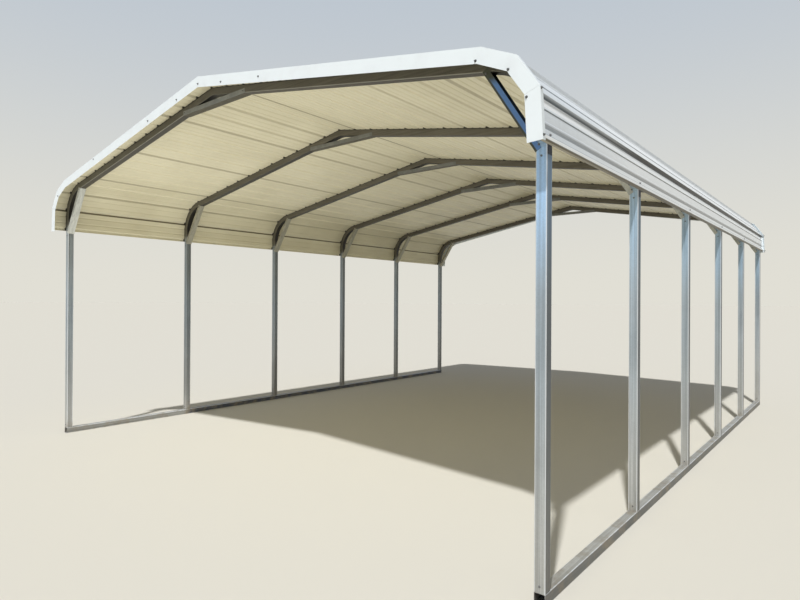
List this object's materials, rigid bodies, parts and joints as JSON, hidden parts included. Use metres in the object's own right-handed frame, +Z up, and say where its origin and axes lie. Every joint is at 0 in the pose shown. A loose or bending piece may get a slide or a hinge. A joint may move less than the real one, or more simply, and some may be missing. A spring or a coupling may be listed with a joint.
{
  "type": "open metal carport",
  "caption": "Free-standing open carport: square-tube frames with rounded eave bends on base rails, channel braces, ribbed metal roof sheets and folded end trim.",
  "frame": {"origin": "on the ground under the base rails, at the middle of the width and of the length", "axes": "+X to the right seen from the front, +Y along the roof from the front to the rear, +Z up"},
  "size_m": [6.184, 7.967, 3.44],
  "materials": {
    "galvanised_tube": "satin galvanised",
    "galvanised_channel": "satin galvanised",
    "roof_sheet": "satin white, cream on the underside",
    "end_trim": "satin white"
  },
  "bodies": {
    "root": {"base_rail_left": "galvanised_tube", "base_rail_right": "galvanised_tube", "post_left_1": "galvanised_tube", "post_left_2": "galvanised_tube", "post_left_3": "galvanised_tube", "post_left_4": "galvanised_tube", "post_left_5": "galvanised_tube", "post_left_6": "galvanised_tube", "post_right_1": "galvanised_tube", "post_right_2": "galvanised_tube", "post_right_3": "galvanised_tube", "post_right_4": "galvanised_tube", "post_right_5": "galvanised_tube", "post_right_6": "galvanised_tube", "bow_1": "galvanised_tube", "bow_2": "galvanised_tube", "bow_3": "galvanised_tube", "bow_4": "galvanised_tube", "bow_5": "galvanised_tube", "bow_6": "galvanised_tube", "corner_braces_1": "galvanised_channel", "corner_braces_2": "galvanised_channel", "corner_braces_3": "galvanised_channel", "corner_braces_4": "galvanised_channel", "corner_braces_5": "galvanised_channel", "corner_braces_6": "galvanised_channel", "peak_brace_1": "galvanised_channel", "peak_brace_2": "galvanised_channel", "peak_brace_3": "galvanised_channel", "peak_brace_4": "galvanised_channel", "peak_brace_5": "galvanised_channel", "peak_brace_6": "galvanised_channel", "eave_sheet_left": "roof_sheet", "eave_sheet_right": "roof_sheet", "ridge_sheet": "roof_sheet", "roof_sheet_left_1": "roof_sheet", "roof_sheet_left_2": "roof_sheet", "roof_sheet_left_3": "roof_sheet", "roof_sheet_right_1": "roof_sheet", "roof_sheet_right_2": "roof_sheet", "roof_sheet_right_3": "roof_sheet", "trim_front_left": "end_trim", "trim_front_right": "end_trim", "trim_rear_left": "end_trim", "trim_rear_right": "end_trim"}
  },
  "joints": []
}
